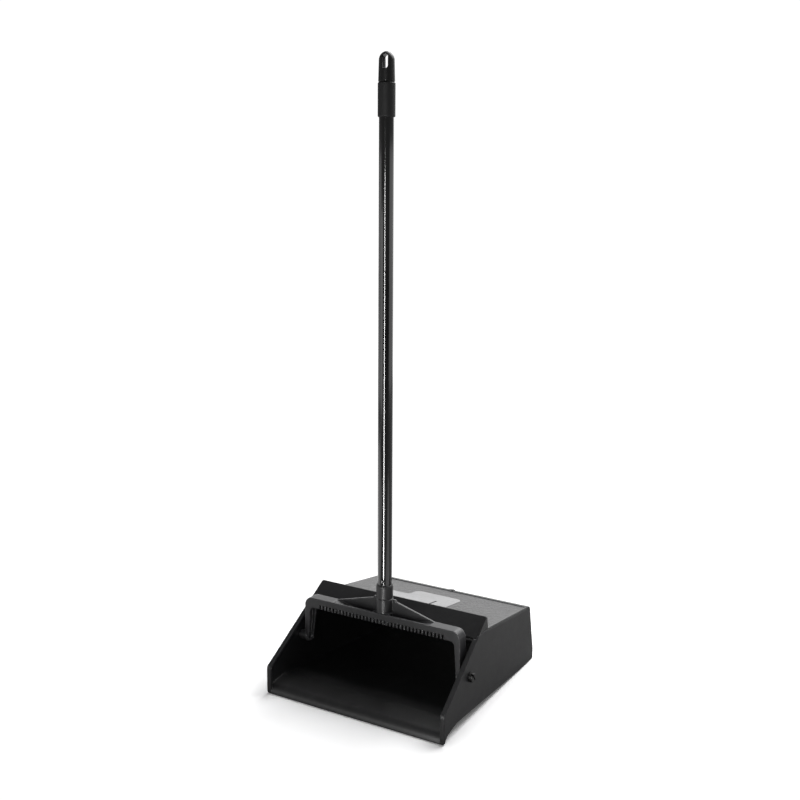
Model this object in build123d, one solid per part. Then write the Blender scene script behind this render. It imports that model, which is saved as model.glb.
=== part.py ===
from build123d import *
import os
from math import atan2, cos, radians, sin, sqrt, tan

# A long-handled lobby dust pan with a closed top. Units are millimetres.
# Side positions are given as "back", the distance behind the pan's front edge, and as height
# above the floor. X runs across the pan, Y runs from the mouth to the rear wall, Z is up.
# The origin is on the floor, midway across and midway along the pan.

# Pan body
FRONT_WIDTH = 300.0          # across the mouth at the front edge
PAN_DEPTH = 325.5            # front edge to the rear wall's foot, before its rounding
SIDE_TAPER = 0.0435          # half width lost for each millimetre towards the rear
WALL = 2.6                   # moulded wall thickness
MOUTH_BASE = 41.5            # height at which the front posts turn into the sloping mouth edge
MOUTH_RISE = 0.695           # height gained by the mouth edge for each millimetre back
NOSE_RUN = 2.2               # how far the ramp's nose leans back
NOSE_HEIGHT = 11.8           # top of the nose, where the ramp begins
CREST_BACK = 38.0            # the ramp's crest behind the front edge
CREST_HEIGHT = 15.8          # underside of the floor below the crest
FLAT_BACK = 290.0            # where the floor meets the ground at the rear
REAR_TOP_BACK = 303.6        # top of the sloping rear wall
RIM_WIDTH = 7.0              # turned-in rim around the mouth
RIM_DEPTH = 3.0              # thickness of that rim
PLAN_CORNER = 5.0            # radius of the rear vertical corners
FOOT_RADIUS = 5.0            # radius along the foot of the rear wall
REAR_TOP_RADIUS = 9.0        # radius along the top of the rear wall
POST_RADIUS = 7.0            # radius where a post turns into the mouth's edge
TOE_RADIUS = 4.0             # radius at the posts' lower outer corners
NOSE_RADIUS = 14.0           # radius over the ramp's nose
RAMP_RADIUS = 60.0           # radius over the ramp's crest
LIP_RADIUS = 0.8             # radius of the front edge
FLOOR_SWEEP = 30.0           # radius inside where the floor levels out
INSIDE_FOOT_RADIUS, INSIDE_TOP_RADIUS = 5.0, 3.0     # rear corners inside
FRONT_CLEAR, TOP_CLEAR = -20.0, 180.0        # beyond the pan, for cuts that leave it open

# Hood: the top panel and the triangular ridge in front of it
DECK_BACK = 141.0            # where the ridge meets the top panel
DECK_HEIGHT = 117.0          # height of the top panel there
DECK_FALL = 0.1372           # height lost by the panel for each millimetre back
RIDGE_FOOT_BACK = 104.0      # lower front edge of the ridge
RIDGE_BACK = 137.0           # top of the ridge
PANEL_END_BACK = 291.0       # rear edge of the hood, on the body's ledge
LEDGE_DEPTH = 7.0            # ledge of the body under the hood's rear edge
LEDGE_THICKNESS = 2.0
STEP_BACK = DECK_BACK - WALL  # step in the side walls' top edge, where the hood's panel begins
FIT_GAP = 0.3                # clearance between the hood's inside parts and the walls
END_INSET = 0.6              # the ridge's end faces stand in from the side walls
RIDGE_CORNER = 4.0           # radius of the ridge's upper end corners
SKIRT_HEIGHT, SKIRT_THICKNESS = 5.0, 1.6     # locating skirts under the panel
BEAD_INSET, BEAD_WIDTH, BEAD_RISE = 3.0, 1.8, 0.8   # raised line along the hood's rear edge
TONGUE_WIDTH, TONGUE_THICKNESS, TONGUE_DROP = 6.0, 1.1, 8.0
TONGUE_GAP = 0.15            # between the hood's catch and the body's rear corner
SINK = 0.5                   # how far raised details are set into the panel under them
RIDGE_DRAUGHT = 12.0         # how far the ridge's hollow is carried down below the panel

# Badge plate let into the top panel
BADGE_THICKNESS = 1.2
BADGE_PROUD = 0.25
BADGE_LEFT, BADGE_RIGHT = -37.0, 45.0
BADGE_FRONT_BACK, BADGE_REAR_BACK = 160.0, 251.0
BADGE_STRIP_LEFT = -76.0
BADGE_STRIP_REAR_BACK = 222.0
SLOT_X, SLOT_LENGTH, SLOT_WIDTH = 17.0, 26.0, 2.8
SLOT_MID_BACK = 202.0

# Yoke
PIVOT_BACK, PIVOT_HEIGHT = 79.4, 66.7
YOKE_FRONT, YOKE_REAR = 73.8, 91.6
YOKE_TOP = 130.7             # top of the cross bar
YOKE_UNDER = 115.2           # underside of the cross bar, and the comb's tips
YOKE_OUTER_TOP, YOKE_OUTER_FOOT = 132.3, 134.4
YOKE_INNER_TOP, YOKE_INNER_FOOT = 123.4, 129.4
YOKE_FOOT = 58.0             # the arms' lower ends
YOKE_CORNER, YOKE_INNER_CORNER = 12.0, 7.0
ARM_LEAN, ARM_FOOT_DEPTH, ARM_FOOT_RADIUS = 0.8, 15.6, 6.8
ARM_WIDE_HEIGHT, ARM_WAIST_RADIUS = 108.0, 20.0      # where the arms reach the bar's full depth
YOKE_SKIN = 2.8              # thickness of the yoke's flanges and web
COMB_PITCH, COMB_SLOTS, COMB_SLOT, COMB_HEIGHT = 6.0, 36, 3.0, 6.6
GUSSET_TIP = 83.0            # where the gussets leave the bar
GUSSET_ROOT, GUSSET_TOP = 20.0, 147.5        # where they meet the socket's flange
GUSSET_THICKNESS = 3.2
TROUGH_ROOT, TROUGH_LIFT, TROUGH_FLOOR = 16.0, 1.6, 2.6   # troughs fall towards the socket
SOCKET_RADIUS, SOCKET_TOP = 12.8, 151.5
SOCKET_BORE, SOCKET_BORE_DEPTH = 9.5, 29.0
STOP_GAP = 0.4               # between the yoke's rear stop and the ridge when upright
STOP_WIDTH, STOP_HEIGHT = 18.0, 8.0
PIVOT_BOSS_RADIUS = 7.2
PIVOT_BOSS_GAP = 0.7         # between the arm's boss and the pan's inner wall

# Pivot pins
PIN_RADIUS, PIN_CLEARANCE = 5.0, 0.06
PIN_HEAD_RADIUS, PIN_HEAD_HEIGHT = 7.0, 6.2
PIN_SLOT_WIDTH, PIN_SLOT_DEPTH, PIN_SLOT_TILT = 2.6, 3.6, 35.0

# Handle
HANDLE_BACK = 88.7
TUBE_RADIUS, TUBE_WALL = 10.4, 0.8
COLLAR_RADIUS, COLLAR_TOP, COLLAR_CHAMFER = 12.3, 172.0, 2.0
THREAD_PITCH, THREAD_CORE, THREAD_LENGTH = 5.08, 8.1, 25.4
THREAD_ROOT, THREAD_FLANK, THREAD_CREST = 1.3, 0.9, 1.2      # heights within one turn
SPIGOT_LENGTH = 30.0
CRIMP_HEIGHT, CRIMP_COUNT, CRIMP_AZIMUTH = 179.0, 4, 12.0
CRIMP_RADIUS, CRIMP_DEPTH = 5.0, 1.1
SLEEVE_BOTTOM, SLEEVE_TOP, SLEEVE_RADIUS = 832.0, 877.0, 12.0
SLEEVE_ROOF = 4.0            # solid top of the sleeve, which holds the cap's stem
CAP_RADIUS, CAP_TOP, CAP_GAP = 11.4, 917.0, 0.4      # the cap narrows up to its dome
DOME_RADIUS, DOME_HEIGHT = 10.7, 12.0        # the dome is half an ellipse
ELLIPSE_PULL = 0.5523                        # pull of a curve's handles that makes a quarter ellipse
STEM_RADIUS, STEM_CLEARANCE = 4.0, 0.06
BARB_RADIUS, BARB_HEIGHT = 5.2, 5.0
HANG_WIDTH, HANG_HEIGHT, HANG_TOP_WALL = 7.5, 18.8, 4.2
HANG_AZIMUTH = 18.5          # the hanging slot's turn about the handle at rest

PANEL_DROP = WALL * sqrt(1 + DECK_FALL**2)   # the panel's thickness measured straight down
REACH = 200.0                                # longer than the pan is wide on either side


def half_width(back):
    return FRONT_WIDTH / 2 - SIDE_TAPER * back


def mouth_height(back):
    return MOUTH_BASE + MOUTH_RISE * back


def deck_height(back):
    return DECK_HEIGHT - DECK_FALL * (back - DECK_BACK)


REAR_ANGLE = atan2(deck_height(REAR_TOP_BACK), PAN_DEPTH - REAR_TOP_BACK)
OVERALL_DEPTH = PAN_DEPTH - FOOT_RADIUS / tan(REAR_ANGLE / 2) + FOOT_RADIUS


def y(back):
    return back - OVERALL_DEPTH / 2


def rounded(points):
    """Face from (u, v, radius) corners; a radius of 0 leaves the corner sharp."""
    face = make_face(Polyline(*[(u, v) for u, v, _ in points], close=True))
    for u, v, radius in points:
        if radius:
            corner = face.vertices().sort_by_distance((u, v, 0))[0]
            face = fillet(corner, radius)
    return face


def side_prism(points, half=REACH):
    """Prism across the pan from a side outline of (back, height, radius) corners."""
    face = rounded([(y(back), height, radius) for back, height, radius in points])
    return extrude(Plane.YZ * face, half, both=True)


def front_prism(face, near, far):
    """Prism from one back position to another, from a face drawn in X and height."""
    plane = Plane(origin=(0, y(near), 0), x_dir=(1, 0, 0), z_dir=(0, -1, 0))
    return extrude(plane * face, -(far - near))


def plan_prism(inset, radius=0.0):
    """The pan's tapered plan, drawn in by inset at the sides and full height."""
    rear = PAN_DEPTH + 20 if not radius else PAN_DEPTH
    front = FRONT_CLEAR if inset else 0
    corners = [
        (-half_width(front) + inset, y(front), 0),
        (half_width(front) - inset, y(front), 0),
        (half_width(rear) - inset, y(rear), radius),
        (-half_width(rear) + inset, y(rear), radius),
    ]
    return extrude(Plane.XY.offset(-20) * rounded(corners), 200)


def toe_prism():
    """The pan's front outline in X and height, with its two lower corners rounded."""
    half, top = FRONT_WIDTH / 2, 200
    corners = [(-half, 0, TOE_RADIUS), (half, 0, TOE_RADIUS), (half, top, 0), (-half, top, 0)]
    return front_prism(rounded(corners), -10, PAN_DEPTH + 10)


def rear_wall_back(height):
    """Back position of the rear wall's outer face at a height."""
    return PAN_DEPTH - height / tan(REAR_ANGLE)


def make_pan_body():
    floor = CREST_HEIGHT + WALL
    rear_inside = WALL / sin(REAR_ANGLE)
    ledge_back = PANEL_END_BACK - LEDGE_DEPTH
    ledge_drop = PANEL_DROP + LEDGE_THICKNESS
    ridge_side_back = (DECK_HEIGHT - MOUTH_BASE) / MOUTH_RISE
    outline = [
        (0, 0, LIP_RADIUS),
        (0, MOUTH_BASE, POST_RADIUS),
        (ridge_side_back, DECK_HEIGHT, 0),
        (STEP_BACK, DECK_HEIGHT, 0),
        (STEP_BACK, deck_height(STEP_BACK) - PANEL_DROP, 0),
        (PANEL_END_BACK, deck_height(PANEL_END_BACK) - PANEL_DROP, 0),
        (PANEL_END_BACK, deck_height(PANEL_END_BACK), 0),
        (REAR_TOP_BACK, deck_height(REAR_TOP_BACK), REAR_TOP_RADIUS),
        (PAN_DEPTH, 0, FOOT_RADIUS),
        (FLAT_BACK, 0, 0),
        (CREST_BACK, CREST_HEIGHT, RAMP_RADIUS),
        (NOSE_RUN + WALL, NOSE_HEIGHT - WALL, NOSE_RADIUS - WALL),
        (WALL, 0, 0),
    ]
    nose_lean = NOSE_RUN / NOSE_HEIGHT
    inside_top = deck_height(REAR_TOP_BACK) - ledge_drop
    cavity = [
        (FRONT_CLEAR, -1, 0),
        (-nose_lean, -1, 0),
        (NOSE_RUN, NOSE_HEIGHT, NOSE_RADIUS),
        (CREST_BACK, floor, RAMP_RADIUS),
        (FLAT_BACK, WALL, FLOOR_SWEEP),
        (rear_wall_back(WALL) - rear_inside, WALL, INSIDE_FOOT_RADIUS),
        (rear_wall_back(inside_top) - rear_inside, inside_top, INSIDE_TOP_RADIUS),
        (ledge_back, deck_height(ledge_back) - ledge_drop, 0),
        (ledge_back, TOP_CLEAR, 0),
        (FRONT_CLEAR, TOP_CLEAR, 0),
    ]
    body = side_prism(outline) & plan_prism(0, PLAN_CORNER) & toe_prism()
    body -= side_prism(cavity) & plan_prism(WALL)
    body += make_mouth_rim() & toe_prism()
    pivot = Plane(origin=(0, y(PIVOT_BACK), PIVOT_HEIGHT), z_dir=(1, 0, 0))
    body -= extrude(pivot * Circle(PIN_RADIUS + PIN_CLEARANCE), REACH, both=True)
    return body


def make_mouth_rim():
    """Rim turned in along the front posts and the sloping mouth edges."""
    lean = sqrt(1 + MOUTH_RISE**2)
    drop = RIM_DEPTH * lean
    end = RIDGE_FOOT_BACK - 1.0
    strip = [
        (0, 0, LIP_RADIUS),
        (0, MOUTH_BASE, POST_RADIUS),
        (end, mouth_height(end), 0),
        (end, mouth_height(end) - drop, 0),
        (RIM_DEPTH, mouth_height(RIM_DEPTH) - drop, 0),
        (RIM_DEPTH, 0, 0),
    ]
    band = plan_prism(0, PLAN_CORNER) - plan_prism(RIM_WIDTH)
    return side_prism(strip) & band


def ridge_section(thickness):
    """Inside of the ridge: its section drawn in by a wall thickness and open downwards."""
    back_run = (DECK_BACK - RIDGE_BACK) / (mouth_height(RIDGE_BACK) - DECK_HEIGHT)
    foot = RIDGE_FOOT_BACK - RIDGE_DRAUGHT / MOUTH_RISE
    corners = [
        (foot, mouth_height(foot), 0),
        (RIDGE_BACK, mouth_height(RIDGE_BACK), 0),
        (DECK_BACK + RIDGE_DRAUGHT * back_run, DECK_HEIGHT - RIDGE_DRAUGHT, 0),
    ]
    face = rounded([(y(back), height, radius) for back, height, radius in corners])
    return extrude(Plane.YZ * offset(face, -thickness, kind=Kind.INTERSECTION), REACH, both=True)


def ridge_front_prism():
    """The ridge's outline in X and height, with its two upper corners rounded."""
    top = mouth_height(RIDGE_BACK)
    low_half = half_width(RIDGE_FOOT_BACK) - END_INSET
    top_half = half_width(RIDGE_BACK) - END_INSET
    low = mouth_height(RIDGE_FOOT_BACK)
    corners = [
        (-low_half, low, 0),
        (-top_half, top, RIDGE_CORNER),
        (top_half, top, RIDGE_CORNER),
        (low_half, low, 0),
    ]
    return front_prism(rounded(corners), RIDGE_FOOT_BACK - 5, DECK_BACK + 5)


def make_hood_cover():
    slope = atan2(MOUTH_RISE, 1)
    ridge_top = mouth_height(RIDGE_BACK)
    foot_inside = (RIDGE_FOOT_BACK + WALL * sin(slope), mouth_height(RIDGE_FOOT_BACK) - WALL * cos(slope))
    section = [
        (RIDGE_FOOT_BACK, mouth_height(RIDGE_FOOT_BACK), 1.0),
        (RIDGE_BACK, ridge_top, 1.6),
        (DECK_BACK, DECK_HEIGHT, 0),
        (PANEL_END_BACK, deck_height(PANEL_END_BACK), 0),
        (PANEL_END_BACK, deck_height(PANEL_END_BACK) - PANEL_DROP, 0),
        (STEP_BACK, deck_height(STEP_BACK) - PANEL_DROP, 0),
        (*foot_inside, 0),
    ]
    solid = side_prism(section)
    shell = solid - ridge_section(WALL)
    behind = Pos(0, y(STEP_BACK) + 250, 0) * Box(2 * REACH, 500, 400)
    above = Pos(0, y(DECK_BACK) - 250, DECK_HEIGHT + 200) * Box(2 * REACH, 500, 400)
    below = Pos(0, y(DECK_BACK) - 250, DECK_HEIGHT - 200) * Box(2 * REACH, 500, 400)
    panel = (shell & plan_prism(0, PLAN_CORNER) & behind) - above
    ridge = shell & plan_prism(END_INSET) & above & ridge_front_prism()
    ends = solid & (plan_prism(END_INSET) - plan_prism(END_INSET + WALL)) & above & ridge_front_prism()
    lip = shell & plan_prism(WALL + FIT_GAP) & below
    hood = panel + ridge + ends + lip + make_hood_skirts() + make_hood_bead() + make_hood_tongue()
    recess = badge_prism(BADGE_THICKNESS, 0.05)
    return hood - recess


def make_hood_skirts():
    """Thin ribs that locate the hood between the side walls."""
    start, end = DECK_BACK + 8, PANEL_END_BACK - LEDGE_DEPTH - 4
    strip = [
        (start, deck_height(start) - PANEL_DROP / 2, 0),
        (end, deck_height(end) - PANEL_DROP / 2, 0),
        (end, deck_height(end) - PANEL_DROP - SKIRT_HEIGHT, 0),
        (start, deck_height(start) - PANEL_DROP - SKIRT_HEIGHT, 0),
    ]
    inset = WALL + FIT_GAP
    return side_prism(strip) & (plan_prism(inset) - plan_prism(inset + SKIRT_THICKNESS))


def make_hood_bead():
    """Raised line along the hood's rear edge."""
    start = PANEL_END_BACK - BEAD_INSET
    end = start + BEAD_WIDTH
    strip = [
        (start, deck_height(start) - SINK, 0),
        (start, deck_height(start) + BEAD_RISE, 0.5),
        (end, deck_height(end) + BEAD_RISE, 0.5),
        (end, deck_height(end) - SINK, 0),
    ]
    return side_prism(strip) & plan_prism(BEAD_INSET)


def make_hood_tongue():
    """Catch at the middle of the rear edge, hooked over the body's rear corner."""
    start = PANEL_END_BACK - 2.0
    lift = TONGUE_GAP + TONGUE_THICKNESS
    ramp = start - 2 * lift
    hook_height = deck_height(REAR_TOP_BACK) - TONGUE_DROP
    hook_back = rear_wall_back(hook_height) + TONGUE_GAP
    corner = REAR_TOP_BACK + TONGUE_GAP
    outer = corner + TONGUE_THICKNESS
    section = [
        (ramp, deck_height(ramp) - SINK, 0),
        (start, deck_height(start) + lift, 0.5),
        (outer, deck_height(outer) + lift, REAR_TOP_RADIUS + TONGUE_THICKNESS),
        (hook_back + TONGUE_THICKNESS, hook_height, 0.5),
        (hook_back, hook_height, 0),
        (corner, deck_height(corner) + TONGUE_GAP, REAR_TOP_RADIUS),
        (PANEL_END_BACK, deck_height(PANEL_END_BACK) + TONGUE_GAP, 0),
        (PANEL_END_BACK, deck_height(PANEL_END_BACK) - SINK, 0),
    ]
    return side_prism(section, TONGUE_WIDTH / 2)


def deck_plane():
    """Plane on the top panel: X across, Y up the fall towards the rear."""
    fall = atan2(DECK_FALL, 1)
    return Plane(origin=(0, y(DECK_BACK), DECK_HEIGHT), x_dir=(1, 0, 0), z_dir=(0, sin(fall), cos(fall)))


def badge_face(grow):
    """Outline of the smooth plate: a rounded pad with a lower strip to its left."""
    stretch = sqrt(1 + DECK_FALL**2)
    front = (BADGE_FRONT_BACK - DECK_BACK) * stretch - grow
    rear = (BADGE_REAR_BACK - DECK_BACK) * stretch + grow
    strip = (BADGE_STRIP_REAR_BACK - DECK_BACK) * stretch + grow
    left, right = BADGE_LEFT - grow, BADGE_RIGHT + grow
    corners = [
        (BADGE_STRIP_LEFT - grow, front, 4.0),
        (right, front, 12.0),
        (right, rear, 12.0),
        (left, rear, 12.0),
        (left, strip, 5.0),
        (BADGE_STRIP_LEFT - grow, strip, 4.0),
    ]
    return rounded(corners)


def badge_prism(depth, grow, rise=5.0):
    return extrude(deck_plane().offset(-depth) * badge_face(grow), depth + rise)


def make_badge_plate():
    plate = extrude(deck_plane().offset(-BADGE_THICKNESS) * badge_face(0), BADGE_THICKNESS + BADGE_PROUD)
    slot_back = (SLOT_MID_BACK - DECK_BACK) * sqrt(1 + DECK_FALL**2)
    slot = Pos(SLOT_X, slot_back) * SlotOverall(SLOT_LENGTH, SLOT_WIDTH, rotation=90)
    return plate - extrude(deck_plane().offset(-5) * slot, 10)


def arch_face(top, under, outer_top, outer_foot, inner_top, inner_foot, foot, corner, inner_corner):
    """The yoke's arch in X and height: a cross bar with two arms that splay a little."""
    outer = rounded([
        (-outer_foot, foot, 0),
        (-outer_top, top, corner),
        (outer_top, top, corner),
        (outer_foot, foot, 0),
    ])
    inner = rounded([
        (-inner_foot, foot - 20, 0),
        (-inner_top, under, inner_corner),
        (inner_top, under, inner_corner),
        (inner_foot, foot - 20, 0),
    ])
    return outer - inner


def make_yoke():
    foot = YOKE_FOOT - 10
    skin = YOKE_SKIN
    arch = arch_face(YOKE_TOP, YOKE_UNDER, YOKE_OUTER_TOP, YOKE_OUTER_FOOT,
                     YOKE_INNER_TOP, YOKE_INNER_FOOT, foot, YOKE_CORNER, YOKE_INNER_CORNER)
    hollow = rounded([
        (-YOKE_OUTER_FOOT + skin, foot, 0),
        (-YOKE_OUTER_TOP + skin, YOKE_TOP - skin, YOKE_CORNER - skin),
        (YOKE_OUTER_TOP - skin, YOKE_TOP - skin, YOKE_CORNER - skin),
        (YOKE_OUTER_FOOT - skin, foot, 0),
    ])
    frame = front_prism(arch, YOKE_FRONT, YOKE_REAR) & arm_profile(0, YOKE_FOOT)
    frame -= front_prism(hollow, YOKE_FRONT - 1, YOKE_REAR + 1) & arm_profile(skin, YOKE_FOOT + skin)
    frame += make_trough_floor()
    frame += make_gussets()
    frame += make_socket()
    frame -= make_trough()
    frame -= make_comb_slots()
    for side in (-1, 1):
        frame += make_pivot_boss(side)
    pivot = Plane(origin=(0, y(PIVOT_BACK), PIVOT_HEIGHT), z_dir=(1, 0, 0))
    frame -= extrude(pivot * Circle(PIN_RADIUS), REACH, both=True)
    bore = Pos(0, y(HANDLE_BACK), SOCKET_TOP - SOCKET_BORE_DEPTH)
    frame -= bore * Cylinder(SOCKET_BORE, SOCKET_BORE_DEPTH + 1, align=(Align.CENTER, Align.CENTER, Align.MIN))
    return frame


def arm_profile(skin, foot):
    """Side outline of the arms, deep at the bar and narrower towards the pivot."""
    front = YOKE_FRONT + skin
    foot_front = front - ARM_LEAN
    foot_rear = foot_front + ARM_FOOT_DEPTH - 2 * skin
    corners = [
        (front, YOKE_TOP + 1, 0),
        (foot_front, foot, ARM_FOOT_RADIUS - skin),
        (foot_rear, foot, ARM_FOOT_RADIUS - skin),
        (YOKE_REAR - skin, ARM_WIDE_HEIGHT, ARM_WAIST_RADIUS),
        (YOKE_REAR - skin, YOKE_TOP + 1, 0),
    ]
    return side_prism(corners)


def make_trough_floor():
    """Fill under the open troughs on each side of the socket."""
    low = YOKE_UNDER + TROUGH_LIFT
    tip = GUSSET_TIP + 4
    face = make_face(Polyline(
        (-tip, YOKE_TOP - 1), (-TROUGH_ROOT, low), (TROUGH_ROOT, low), (tip, YOKE_TOP - 1), close=True))
    return front_prism(face, YOKE_FRONT, YOKE_REAR)


def make_trough():
    """Open troughs between the front flange and the gussets."""
    low = YOKE_UNDER + TROUGH_LIFT + TROUGH_FLOOR
    end = SOCKET_RADIUS + 0.7
    trough = []
    for side in (-1, 1):
        face = make_face(Polyline(
            (side * GUSSET_TIP, YOKE_TOP + 1), (side * GUSSET_TIP, YOKE_TOP - 0.4), (side * TROUGH_ROOT, low),
            (side * end, low), (side * end, YOKE_TOP + 1), close=True))
        trough.append(front_prism(face, YOKE_FRONT + YOKE_SKIN, YOKE_REAR - GUSSET_THICKNESS))
    return trough


def make_gussets():
    """Webs that carry the socket, rising from the bar's rear flange."""
    base, top = YOKE_TOP - 1, SOCKET_TOP - 1
    flange = GUSSET_ROOT - 2
    face = make_face(Polyline(
        (-GUSSET_TIP, base), (-GUSSET_TIP, YOKE_TOP), (-GUSSET_ROOT, GUSSET_TOP), (-flange, top),
        (flange, top), (GUSSET_ROOT, GUSSET_TOP), (GUSSET_TIP, YOKE_TOP), (GUSSET_TIP, base), close=True))
    return front_prism(face, YOKE_REAR - GUSSET_THICKNESS, YOKE_REAR)


def make_socket():
    """Socket for the handle's thread, with the rear stop that leans on the ridge."""
    socket = Pos(0, y(HANDLE_BACK), YOKE_UNDER) * Cylinder(
        SOCKET_RADIUS, SOCKET_TOP - YOKE_UNDER, align=(Align.CENTER, Align.CENTER, Align.MIN))
    socket = chamfer(socket.faces().sort_by(Axis.Z)[-1].edges(), 0.6)
    gap = STOP_GAP * sqrt(1 + MOUTH_RISE**2) / MOUTH_RISE
    low = YOKE_UNDER + 0.8
    high = low + STOP_HEIGHT
    foot = (low - MOUTH_BASE) / MOUTH_RISE - gap
    heel = (high - MOUTH_BASE) / MOUTH_RISE - gap
    web_top = SOCKET_TOP - 12
    pad = [(HANDLE_BACK, low, 0), (foot, low, 0), (heel, high, 0), (HANDLE_BACK, high, 0)]
    web = [(HANDLE_BACK, low, 0), (foot, low, 0), (heel, high, 0), (HANDLE_BACK + 6, web_top, 0),
           (HANDLE_BACK, web_top, 0)]
    return socket + side_prism(pad, STOP_WIDTH / 2) + side_prism(web, STOP_WIDTH / 6)


def make_comb_slots():
    """Slots that leave a row of teeth along the bar's lower front edge."""
    slot = Box(COMB_SLOT, YOKE_SKIN + 2, COMB_HEIGHT + 2)
    middle = Pos(0, y(YOKE_FRONT) + YOKE_SKIN / 2, YOKE_UNDER + COMB_HEIGHT / 2 - 1)
    return [middle * place * slot for place in GridLocations(COMB_PITCH, 0, COMB_SLOTS, 1)]


def make_pivot_boss(side):
    """Boss that fills the space between an arm and the pan's side wall."""
    inner = YOKE_OUTER_FOOT - YOKE_SKIN
    outer = half_width(PIVOT_BACK) - WALL - PIVOT_BOSS_GAP
    plane = Plane(origin=(side * inner, y(PIVOT_BACK), PIVOT_HEIGHT), z_dir=(side, 0, 0))
    return extrude(plane * Circle(PIVOT_BOSS_RADIUS), outer - inner)


def make_pivot_pin(side):
    """Slotted-head pin, fast in the yoke's boss and free in the pan's wall."""
    wall_face = half_width(PIVOT_BACK - PIN_HEAD_RADIUS) + 0.25
    start = YOKE_INNER_FOOT + 0.6
    plane = Plane(origin=(side * start, y(PIVOT_BACK), PIVOT_HEIGHT), z_dir=(side, 0, 0))
    head_plane = Plane(origin=(side * wall_face, y(PIVOT_BACK), PIVOT_HEIGHT), z_dir=(side, 0, 0))
    head = extrude(head_plane * Circle(PIN_HEAD_RADIUS), PIN_HEAD_HEIGHT)
    head = fillet(head.faces().sort_by(Axis.X)[-1 if side > 0 else 0].edges(), 1.2)
    pin = extrude(plane * Circle(PIN_RADIUS), wall_face - start) + head
    slot = Box(2 * PIN_SLOT_DEPTH, PIN_SLOT_WIDTH, 4 * PIN_HEAD_RADIUS)
    place = Pos(side * (wall_face + PIN_HEAD_HEIGHT), y(PIVOT_BACK), PIVOT_HEIGHT) * Rot(X=PIN_SLOT_TILT)
    return pin - place * slot


def on_handle(height):
    return Pos(0, y(HANDLE_BACK), height)


def turned(outline):
    """Solid of revolution about the handle's axis from (radius, height) points."""
    face = make_face(Polyline(*outline, close=True))
    plane = Plane(origin=(0, y(HANDLE_BACK), 0), x_dir=(1, 0, 0), z_dir=(0, -1, 0))
    axis = Axis((0, y(HANDLE_BACK), 0), (0, 0, 1))
    return revolve(plane * face, axis, 360)


def make_thread_connector():
    """Moulded plug: a thread for the socket, a collar, and a spigot inside the tube."""
    seat = SOCKET_TOP + 0.1
    crest = SOCKET_BORE - 0.1
    low = seat - THREAD_LENGTH
    outline = [(0, low), (THREAD_CORE, low)]
    turns = int(THREAD_LENGTH / THREAD_PITCH)
    for turn in range(turns):
        rise = low + turn * THREAD_PITCH + THREAD_ROOT
        fall = rise + THREAD_FLANK + THREAD_CREST
        outline += [(THREAD_CORE, rise), (crest, rise + THREAD_FLANK)]
        outline += [(crest, fall), (THREAD_CORE, fall + THREAD_FLANK)]
    bore = TUBE_RADIUS - TUBE_WALL
    groove = bore - CRIMP_DEPTH - 0.5
    outline += [
        (THREAD_CORE, seat),
        (COLLAR_RADIUS, seat),
        (COLLAR_RADIUS, COLLAR_TOP - COLLAR_CHAMFER),
        (COLLAR_RADIUS - 1.2, COLLAR_TOP),
        (bore, COLLAR_TOP),
        (bore, CRIMP_HEIGHT - 4.5),
        (groove, CRIMP_HEIGHT - 3.5),
        (groove, CRIMP_HEIGHT + 3.5),
        (bore, CRIMP_HEIGHT + 4.5),
        (bore, COLLAR_TOP + SPIGOT_LENGTH - 2),
        (bore - 1.5, COLLAR_TOP + SPIGOT_LENGTH),
        (0, COLLAR_TOP + SPIGOT_LENGTH),
    ]
    return turned(outline)


def make_handle_tube():
    """Steel tube, crimped by round dimples into the connector's groove."""
    inner, top = TUBE_RADIUS - TUBE_WALL, SLEEVE_TOP - SLEEVE_ROOF
    tube = turned([(inner, COLLAR_TOP), (TUBE_RADIUS, COLLAR_TOP), (TUBE_RADIUS, top), (inner, top)])
    core = on_handle(CRIMP_HEIGHT) * Cylinder(inner + 0.01, 3 * CRIMP_RADIUS)
    for number in range(CRIMP_COUNT):
        azimuth = radians(CRIMP_AZIMUTH + number * 360 / CRIMP_COUNT)
        reach = TUBE_RADIUS + CRIMP_RADIUS - CRIMP_DEPTH
        place = on_handle(CRIMP_HEIGHT) * Pos(reach * sin(azimuth), -reach * cos(azimuth), 0)
        dent = place * Sphere(CRIMP_RADIUS)
        tube += place * Sphere(CRIMP_RADIUS + TUBE_WALL) & core
        tube -= dent
    return tube


def make_end_sleeve():
    """Sleeve over the tube's upper end, with a solid roof for the cap's stem."""
    roof = SLEEVE_TOP - SLEEVE_ROOF
    hole = STEM_RADIUS + STEM_CLEARANCE
    return turned([
        (TUBE_RADIUS, SLEEVE_BOTTOM),
        (SLEEVE_RADIUS - 0.8, SLEEVE_BOTTOM),
        (SLEEVE_RADIUS, SLEEVE_BOTTOM + 0.8),
        (SLEEVE_RADIUS, SLEEVE_TOP - 1.2),
        (SLEEVE_RADIUS - 1.0, SLEEVE_TOP),
        (hole, SLEEVE_TOP),
        (hole, roof),
        (TUBE_RADIUS, roof),
    ])


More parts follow.
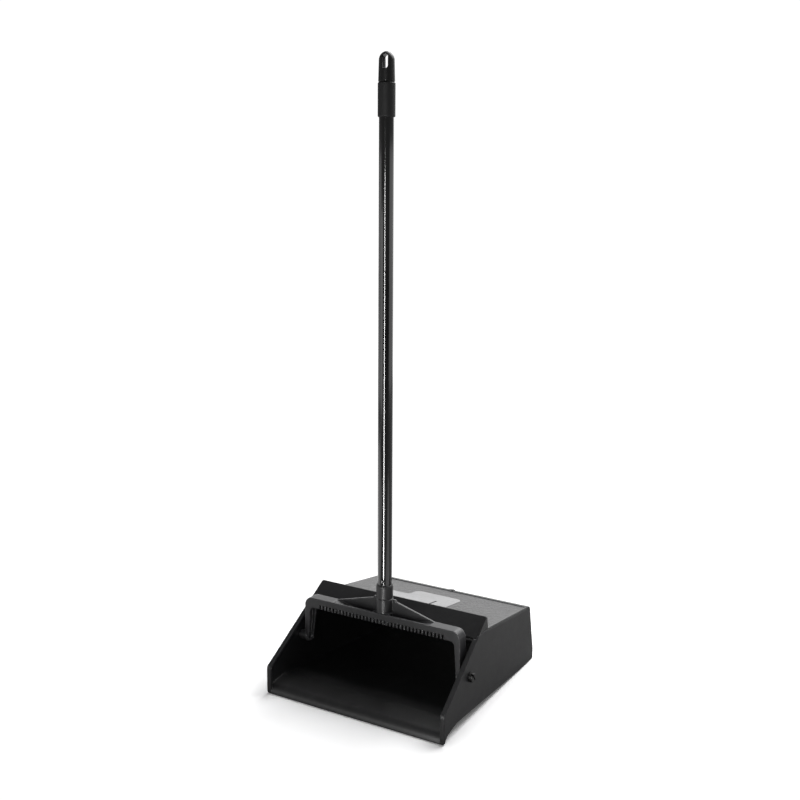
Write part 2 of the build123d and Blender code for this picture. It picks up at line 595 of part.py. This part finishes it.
def make_hanger_cap():
    """Domed cap with a hanging slot, turning on a barbed stem in the sleeve's roof."""
    bottom = SLEEVE_TOP + CAP_GAP
    barb_top = SLEEVE_TOP - SLEEVE_ROOF - 0.3
    stem_end = barb_top - BARB_HEIGHT
    dome = CAP_TOP - DOME_HEIGHT
    side = Polyline((0, stem_end), (STEM_RADIUS - 1, stem_end), (BARB_RADIUS, barb_top - 1.5),
                    (BARB_RADIUS, barb_top), (STEM_RADIUS, barb_top), (STEM_RADIUS, bottom),
                    (CAP_RADIUS - 1.0, bottom), (CAP_RADIUS, bottom + 1.0), (DOME_RADIUS, dome))
    arc = Bezier((DOME_RADIUS, dome), (DOME_RADIUS, dome + ELLIPSE_PULL * DOME_HEIGHT),
                 (ELLIPSE_PULL * DOME_RADIUS, CAP_TOP), (0, CAP_TOP))
    axle = Line((0, CAP_TOP), (0, stem_end))
    plane = Plane(origin=(0, y(HANDLE_BACK), 0), x_dir=(1, 0, 0), z_dir=(0, -1, 0))
    axis = Axis((0, y(HANDLE_BACK), 0), (0, 0, 1))
    cap = revolve(plane * make_face(side + arc + axle), axis, 360)
    slot = Pos(0, CAP_TOP - HANG_TOP_WALL - HANG_HEIGHT / 2) * SlotOverall(HANG_HEIGHT, HANG_WIDTH, rotation=90)
    hole = extrude(plane * slot, 2 * CAP_RADIUS, both=True)
    return cap - hole.rotate(axis, HANG_AZIMUTH)


def main():
    nodes = {
        "pan_body": make_pan_body(),
        "hood_cover": make_hood_cover(),
        "badge_plate": make_badge_plate(),
        "yoke": make_yoke(),
        "pivot_pin_left": make_pivot_pin(-1),
        "pivot_pin_right": make_pivot_pin(1),
        "thread_connector": make_thread_connector(),
        "handle_tube": make_handle_tube(),
        "end_sleeve": make_end_sleeve(),
        "hanger_cap": make_hanger_cap(),
    }
    os.makedirs("parts", exist_ok=True)
    for name, shape in nodes.items():
        export_step(shape, f"parts/{name}.step")


main()
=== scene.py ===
import math

import bpy
from mathutils import Matrix, Vector

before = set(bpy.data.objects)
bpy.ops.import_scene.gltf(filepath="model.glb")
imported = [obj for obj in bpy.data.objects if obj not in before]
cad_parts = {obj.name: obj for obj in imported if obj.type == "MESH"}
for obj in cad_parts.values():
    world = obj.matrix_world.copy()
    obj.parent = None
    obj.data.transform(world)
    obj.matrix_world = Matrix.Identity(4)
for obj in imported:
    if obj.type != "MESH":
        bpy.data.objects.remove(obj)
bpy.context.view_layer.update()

# Lengths are in metres, colours are linear.
HANDLE_Y = -0.0734                   # the handle's axis
SLOT_NEAR, SLOT_FAR = 0.0092, 0.0102     # distance from that axis over which the slot's walls end
SLOT_HIGH, SLOT_END = 0.9095, 0.9125     # heights over which they end under the dome
# The slot's walls get a near-black painted shade and a rough finish.
SLOT_PAINTED_SHADE, SLOT_ROUGH = (0.001, 0.001, 0.001), 0.95
DUST_TONE, DUST_TOP = (0.16, 0.155, 0.145), 0.045

FLOOR_HALF, FLOOR_DROP = 9.0, 0.0004
PAPER_TONE, PAPER_LIFT = (0.88, 0.88, 0.885, 1), 0.36
FLOOR_BOUNCE = 0.30                  # how bright the floor is to everything but the camera
SWEEP_START, SWEEP_END = 0.2, 0.6    # distance from the pan's middle over which the paper turns white
SWEEP_SHARE = 0.04                   # how much of the white sweep is there at the middle
WHITE = 1.05                         # just over full white
ROOM = 0.2                           # how bright the room is to everything but the camera

CAMERA_PLACE = (0.768, -1.3161, 0.716)
CAMERA_YAW, CAMERA_PITCH, CAMERA_ROLL = 30.91, 10.51, 0.37
CAMERA_LENS, CAMERA_SENSOR = 47.34, 36.0

# The wear and scuff settings lighten the edges, partly as real wear and partly as a painted highlight.
PLASTICS = {
    "pan_body": dict(
        name="pan_plastic", dark=(0.006, 0.006, 0.0068), light=(0.010, 0.010, 0.0112), rough=0.42,
        grain=0.0006, depth=0.00004, edge_wear_and_highlight=0.8, edge=0.0022, dust=0.06, scuff_and_highlight=0.022),
    "hood_cover": dict(
        name="hood_plastic", dark=(0.007, 0.007, 0.0078), light=(0.012, 0.012, 0.0132), rough=0.32,
        grain=0.0013, depth=0.00012, edge_wear_and_highlight=0.7, edge=0.0018, pebble=0.0004),
    "yoke": dict(
        name="yoke_plastic", dark=(0.021, 0.021, 0.023), light=(0.032, 0.032, 0.0345), rough=0.39,
        grain=0.0006, depth=0.00004, edge_wear_and_highlight=1.0, edge=0.0026, scuff_and_highlight=0.09),
    "pivot_pin_left": dict(
        name="pin_plastic_left", dark=(0.006, 0.006, 0.006), light=(0.010, 0.010, 0.010), rough=0.38,
        grain=0.0005, depth=0.00003, edge_wear_and_highlight=0.5, edge=0.0006),
    "pivot_pin_right": dict(
        name="pin_plastic_right", dark=(0.006, 0.006, 0.006), light=(0.010, 0.010, 0.010), rough=0.38,
        grain=0.0005, depth=0.00003, edge_wear_and_highlight=0.5, edge=0.0006),
    "thread_connector": dict(
        name="connector_plastic", dark=(0.014, 0.014, 0.015), light=(0.020, 0.020, 0.0215), rough=0.44,
        grain=0.0005, depth=0.00004, edge_wear_and_highlight=0.5, edge=0.0007),
    "end_sleeve": dict(
        name="sleeve_plastic", dark=(0.009, 0.009, 0.0095), light=(0.013, 0.013, 0.0135), rough=0.6,
        grain=0.0005, depth=0.00005, edge_wear_and_highlight=0.5, edge=0.0007, shine=0.3),
    "hanger_cap": dict(
        name="cap_plastic", dark=(0.007, 0.007, 0.007), light=(0.011, 0.011, 0.011), rough=0.42,
        grain=0.0006, depth=0.000006, edge_wear_and_highlight=0.3, edge=0.0008, shine=0.3, slot=True),
}

# name, place, the point it faces, width, height, watts
LAMPS = [
    ("overhead", (0.3, 1.5, 2.3), (0, 0.1, 0), 2.2, 1.6, 84),
    ("rear", (-0.6, 2.4, 0.9), (0, 0, 0.4), 4.2, 1.8, 30),
    ("right", (2.3, 0.8, 0.47), (0, 0, 0.35), 2.6, 0.92, 8.5),
    ("left", (-2.1, -0.9, 0.45), (0, 0, 0.45), 2.0, 0.88, 4.8),
    ("front_low", (-1.1, -1.9, 0.35), (0, 0, 0.1), 1.3, 0.7, 4.2),
]
# Seen only as highlights in glossy faces.
GLOSS_LAMPS = [
    ("strip", (0.1935, -0.912, 0.407), (0.0375, -0.235, 1.126), 0.065, 1.14, 10.8),
    ("low_left", (-0.95, -0.4, 0.01), (-0.95, -0.4, 1), 1.3, 1.4, 5.0),
    ("low_right", (0.78, -0.15, 0.01), (0.78, -0.15, 1), 0.9, 0.5, 1.1),
]


# ---------------------------------------------------------------- materials
class Net:
    """A small builder for one material's node tree."""

    def __init__(self, name):
        self.material = bpy.data.materials.new(name)
        self.material.use_nodes = True
        self.tree = self.material.node_tree
        self.tree.nodes.clear()
        out = self.add("OutputMaterial")
        self.shader = self.add("BsdfPrincipled")
        self.link(self.shader.outputs["BSDF"], out.inputs["Surface"])
        self.coords = self.add("TexCoord")
        self.place = self.coords.outputs["Object"]

    def add(self, kind):
        return self.tree.nodes.new("ShaderNode" + kind)

    def link(self, source, target):
        self.tree.links.new(source, target)

    def feed(self, node, socket, value):
        """Links a socket, or sets it where the value is plain. None leaves it alone."""
        if isinstance(value, bpy.types.NodeSocket):
            self.link(value, node.inputs[socket])
        elif value is not None:
            node.inputs[socket].default_value = value

    def set(self, socket, value):
        self.feed(self.shader, socket, value)

    def stretched(self, scale, turn=(0, 0, 0)):
        node = self.add("Mapping")
        self.link(self.place, node.inputs["Vector"])
        node.inputs["Scale"].default_value = scale
        node.inputs["Rotation"].default_value = turn
        return node.outputs["Vector"]

    def noise(self, size, detail, rough, vector=None, distortion=0.0):
        """Noise whose features are about size metres across."""
        node = self.add("TexNoise")
        self.link(vector or self.place, node.inputs["Vector"])
        node.inputs["Scale"].default_value = 1.0 / size
        node.inputs["Detail"].default_value = detail
        node.inputs["Roughness"].default_value = rough
        node.inputs["Distortion"].default_value = distortion
        return node.outputs["Fac"]

    def cells(self, size):
        node = self.add("TexVoronoi")
        self.link(self.place, node.inputs["Vector"])
        node.inputs["Scale"].default_value = 1.0 / size
        return node.outputs["Distance"]

    def remap(self, value, low, high, to_low=0.0, to_high=1.0):
        node = self.add("MapRange")
        node.clamp = True
        self.feed(node, "Value", value)
        self.feed(node, "From Min", low)
        self.feed(node, "From Max", high)
        self.feed(node, "To Min", to_low)
        self.feed(node, "To Max", to_high)
        return node.outputs["Result"]

    def math(self, operation, a, b):
        node = self.add("Math")
        node.operation = operation
        self.feed(node, 0, a)
        self.feed(node, 1, b)
        return node.outputs["Value"]

    def times(self, a, b):
        return self.math("MULTIPLY", a, b)

    def vector_math(self, operation, a, b=None):
        node = self.add("VectorMath")
        node.operation = operation
        self.feed(node, 0, a)
        self.feed(node, 1, b)
        return node

    def mix(self, factor, a, b):
        node = self.add("Mix")
        node.data_type = "RGBA"
        self.feed(node, "Factor", factor)
        for socket, value in ((6, a), (7, b)):
            plain = isinstance(value, tuple)
            self.feed(node, socket, (*value, 1.0) if plain else value)
        return node.outputs[2]

    def upward_part(self, vector):
        node = self.add("SeparateXYZ")
        self.link(vector, node.inputs["Vector"])
        return node.outputs["Z"]

    def height(self):
        """Height above the floor."""
        return self.upward_part(self.place)

    def facing_up(self):
        """1 on faces that lie within about 20 degrees of level and 0 beyond about 30."""
        return self.remap(self.upward_part(self.coords.outputs["Normal"]), 0.88, 0.95)

    def inside_slot(self):
        """1 on the walls of the cap's slot, near the handle's axis and under the dome."""
        offset = self.vector_math("ADD", self.place, (0, -HANDLE_Y, 0)).outputs["Vector"]
        flat = self.vector_math("MULTIPLY", offset, (1, 1, 0)).outputs["Vector"]
        distance = self.vector_math("LENGTH", flat).outputs["Value"]
        near = self.remap(distance, SLOT_NEAR, SLOT_FAR, 1.0, 0.0)
        return self.times(near, self.remap(self.height(), SLOT_HIGH, SLOT_END, 1.0, 0.0))

    def edges(self, radius):
        """1 near sharp edges and 0 on flat faces, with the softened normal."""
        bevel = self.add("Bevel")
        bevel.samples = 4
        bevel.inputs["Radius"].default_value = radius
        soft = bevel.outputs["Normal"]
        flat = self.add("NewGeometry").outputs["Normal"]
        dot = self.vector_math("DOT_PRODUCT", soft, flat).outputs["Value"]
        return self.remap(dot, 0.999, 0.90), soft

    def bump(self, height, distance, normal):
        node = self.add("Bump")
        node.inputs["Distance"].default_value = distance
        self.feed(node, "Height", height)
        self.feed(node, "Normal", normal)
        return node.outputs["Normal"]


def moulded_plastic(name, dark, light, rough, grain, depth, edge_wear_and_highlight, edge,
                    dust=0.0, shine=0.5, pebble=0.0, scuff_and_highlight=0.012, slot=False):
    """Black moulded plastic: spark-eroded grain, cloudy tone, edges lightened partly as scuffing and
    partly as a painted highlight, a little dust.
    """
    net = Net(name)
    cloud = net.noise(0.11, 4, 0.6)
    mottled = net.noise(0.013, 3, 0.6)
    tone = net.math("ADD", net.times(cloud, 0.6), net.times(mottled, 0.4))
    corner, soft = net.edges(edge)

    rubbed = net.remap(net.noise(0.006, 4, 0.7), 0.42, 0.62)
    # Edges are lightened partly as real scuffing and partly as a painted highlight along them; scuff
    # adds to that painted edge highlight.
    wear_and_highlight_mask = net.times(corner, net.remap(rubbed, 0.0, 1.0, edge_wear_and_highlight * 0.35, edge_wear_and_highlight))
    streak = net.noise(0.004, 4, 0.65, net.stretched((1.0, 0.12, 0.35), (0.3, 0.5, 0.2)))
    scratch = net.remap(streak, 0.67, 0.72, 0.0, 0.16)
    wear_and_highlight_tone = tuple(min(1.0, part * 2.6 + scuff_and_highlight) for part in light)

    colour = net.mix(net.remap(tone, 0.35, 0.65), dark, light)
    colour = net.mix(net.math("MAXIMUM", wear_and_highlight_mask, scratch), colour, wear_and_highlight_tone)
    if dust:
        low = net.remap(net.height(), 0.0, DUST_TOP, 1.0, 0.0)
        patchy = net.remap(net.noise(0.018, 5, 0.7), 0.46, 0.72)
        colour = net.mix(net.times(net.times(low, patchy), dust), colour, DUST_TONE)

    spread = net.remap(tone, 0.3, 0.7, rough - 0.05, rough + 0.06)
    polish = net.math("ADD", net.times(scratch, 0.5), net.times(corner, 0.14))
    matt = net.math("SUBTRACT", spread, polish)
    if slot:
        cored = net.inside_slot()
        # Painted shade: the slot's walls are darkened to near black.
        colour = net.mix(cored, colour, SLOT_PAINTED_SHADE)
        matt = net.math("MAXIMUM", matt, net.times(cored, SLOT_ROUGH))

    pits = net.times(net.cells(grain * 1.9), 0.5)
    normal = net.bump(net.math("ADD", net.noise(grain, 2, 0.6), pits), depth, soft)
    if pebble:
        coarse = net.noise(0.0042, 2, 0.55, net.stretched((1.0, 0.7, 1.0)), 0.6)
        raised = net.times(net.remap(coarse, 0.32, 0.68), net.facing_up())
        normal = net.bump(raised, pebble, normal)

    net.set("Base Color", colour)
    net.set("Roughness", matt)
    net.set("Normal", normal)
    net.set("Specular IOR Level", shine)
    net.set("IOR", 1.5)
    return net.material


def enamel(name):
    """Glossy black stoved enamel on a steel tube, with faint orange peel and lengthwise rubbing."""
    net = Net(name)
    peel = net.noise(0.0035, 2, 0.5)
    cloud = net.noise(0.09, 3, 0.6)
    along = net.noise(0.0016, 4, 0.7, net.stretched((1.0, 1.0, 0.025)))
    hair = net.remap(along, 0.66, 0.72, 0.0, 0.22)
    corner, soft = net.edges(0.0006)
    rubbed = net.math("MAXIMUM", net.times(hair, 0.2), net.times(corner, 0.3))
    colour = net.mix(net.remap(cloud, 0.35, 0.65), (0.0035, 0.0035, 0.004), (0.006, 0.006, 0.0065))
    net.set("Base Color", net.mix(rubbed, colour, (0.05, 0.05, 0.05)))
    net.set("Roughness", net.math("ADD", net.remap(cloud, 0.3, 0.7, 0.10, 0.16), hair))
    net.set("Normal", net.bump(peel, 0.000008, soft))
    net.set("Coat Weight", 0.35)
    net.set("Coat Roughness", 0.06)
    net.set("IOR", 1.52)
    return net.material


def foil_plate(name):
    """Smooth grey plate with a fine brushed finish and faint wipe marks."""
    net = Net(name)
    brushed = net.noise(0.0004, 2, 0.5)
    cloud = net.noise(0.03, 3, 0.6)
    corner, soft = net.edges(0.0008)
    colour = net.mix(net.remap(cloud, 0.35, 0.65), (0.24, 0.24, 0.245), (0.29, 0.29, 0.295))
    net.set("Base Color", net.mix(net.times(corner, 0.5), colour, (0.40, 0.40, 0.40)))
    net.set("Roughness", net.remap(brushed, 0.3, 0.7, 0.26, 0.32))
    net.set("Normal", net.bump(brushed, 0.000003, soft))
    net.set("IOR", 1.5)
    return net.material


def dress(node, material):
    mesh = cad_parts[node].data
    mesh.materials.clear()
    mesh.materials.append(material)


# ---------------------------------------------------------------- stage
def make_floor():
    """Pale paper floor, which runs out into an evenly lit white sweep."""
    mesh = bpy.data.meshes.new("floor")
    half = FLOOR_HALF
    corners = [(-half, -half, 0), (half, -half, 0), (half, half, 0), (-half, half, 0)]
    mesh.from_pydata(corners, [], [(0, 1, 2, 3)])
    floor = bpy.data.objects.new("floor", mesh)
    bpy.context.scene.collection.objects.link(floor)
    floor.location = (0, 0, -FLOOR_DROP)
    material = bpy.data.materials.new("floor_paper")
    material.use_nodes = True
    tree = material.node_tree
    tree.nodes.clear()

    def diffuse(colour):
        node = tree.nodes.new("ShaderNodeBsdfDiffuse")
        node.inputs["Color"].default_value = colour
        return node.outputs["BSDF"]

    def blend(factor, first, second):
        node = tree.nodes.new("ShaderNodeMixShader")
        tree.links.new(factor, node.inputs["Fac"])
        tree.links.new(first, node.inputs[1])
        tree.links.new(second, node.inputs[2])
        return node.outputs["Shader"]

    bright = tree.nodes.new("ShaderNodeAddShader")
    tree.links.new(diffuse(PAPER_TONE), bright.inputs[0])
    tree.links.new(diffuse((PAPER_LIFT, PAPER_LIFT, PAPER_LIFT, 1)), bright.inputs[1])
    sweep = tree.nodes.new("ShaderNodeEmission")
    sweep.inputs["Strength"].default_value = WHITE
    coords = tree.nodes.new("ShaderNodeTexCoord")
    length = tree.nodes.new("ShaderNodeVectorMath")
    length.operation = "LENGTH"
    tree.links.new(coords.outputs["Object"], length.inputs[0])
    fade = tree.nodes.new("ShaderNodeMapRange")
    fade.interpolation_type = "SMOOTHSTEP"
    fade.inputs["From Min"].default_value = SWEEP_START
    fade.inputs["From Max"].default_value = SWEEP_END
    fade.inputs["To Min"].default_value = SWEEP_SHARE
    tree.links.new(length.outputs["Value"], fade.inputs["Value"])
    seen = blend(fade.outputs["Result"], bright.outputs["Shader"], sweep.outputs["Emission"])
    felt = diffuse((FLOOR_BOUNCE, FLOOR_BOUNCE, FLOOR_BOUNCE, 1))
    path = tree.nodes.new("ShaderNodeLightPath")
    out = tree.nodes.new("ShaderNodeOutputMaterial")
    tree.links.new(blend(path.outputs["Is Camera Ray"], felt, seen), out.inputs["Surface"])
    mesh.materials.append(material)


def softbox(name, place, target, width, height, power):
    data = bpy.data.lights.new(name, "AREA")
    data.shape = "RECTANGLE"
    data.size, data.size_y = width, height
    data.energy = power
    lamp = bpy.data.objects.new(name, data)
    bpy.context.scene.collection.objects.link(lamp)
    lamp.location = place
    lamp.rotation_mode = "QUATERNION"
    lamp.rotation_quaternion = (Vector(target) - Vector(place)).to_track_quat("-Z", "Y")
    lamp.visible_camera = False
    return lamp


def make_world():
    """White behind the object, and a dim room in its reflections."""
    world = bpy.data.worlds.new("studio")
    bpy.context.scene.world = world
    world.use_nodes = True
    tree = world.node_tree
    tree.nodes.clear()
    mix = tree.nodes.new("ShaderNodeMixShader")
    for socket, strength in ((1, ROOM), (2, WHITE)):
        light = tree.nodes.new("ShaderNodeBackground")
        light.inputs["Color"].default_value = (1, 1, 1, 1)
        light.inputs["Strength"].default_value = strength
        tree.links.new(light.outputs["Background"], mix.inputs[socket])
    path = tree.nodes.new("ShaderNodeLightPath")
    tree.links.new(path.outputs["Is Camera Ray"], mix.inputs["Fac"])
    out = tree.nodes.new("ShaderNodeOutputWorld")
    tree.links.new(mix.outputs["Shader"], out.inputs["Surface"])


def make_camera():
    yaw, pitch, roll = (math.radians(turn) for turn in (CAMERA_YAW, CAMERA_PITCH, CAMERA_ROLL))
    level = math.cos(pitch)
    back = Vector((math.sin(yaw) * level, -math.cos(yaw) * level, math.sin(pitch)))
    right = Vector((0, 0, 1)).cross(back).normalized()
    up = back.cross(right)
    across = math.cos(roll) * right + math.sin(roll) * up
    upward = -math.sin(roll) * right + math.cos(roll) * up
    data = bpy.data.cameras.new("camera")
    data.sensor_width = CAMERA_SENSOR
    data.lens = CAMERA_LENS
    data.clip_start, data.clip_end = 0.05, 60
    camera = bpy.data.objects.new("camera", data)
    bpy.context.scene.collection.objects.link(camera)
    turn = Matrix((across, upward, back)).transposed()
    camera.matrix_world = Matrix.Translation(CAMERA_PLACE) @ turn.to_4x4()
    bpy.context.scene.camera = camera


for node, look in PLASTICS.items():
    dress(node, moulded_plastic(**look))
dress("badge_plate", foil_plate("badge_finish"))
dress("handle_tube", enamel("tube_enamel"))

make_floor()
make_world()
for lamp in LAMPS:
    softbox(*lamp)
for lamp in GLOSS_LAMPS:
    softbox(*lamp).visible_diffuse = False
make_camera()
bpy.context.scene.view_settings.view_transform = "Standard"
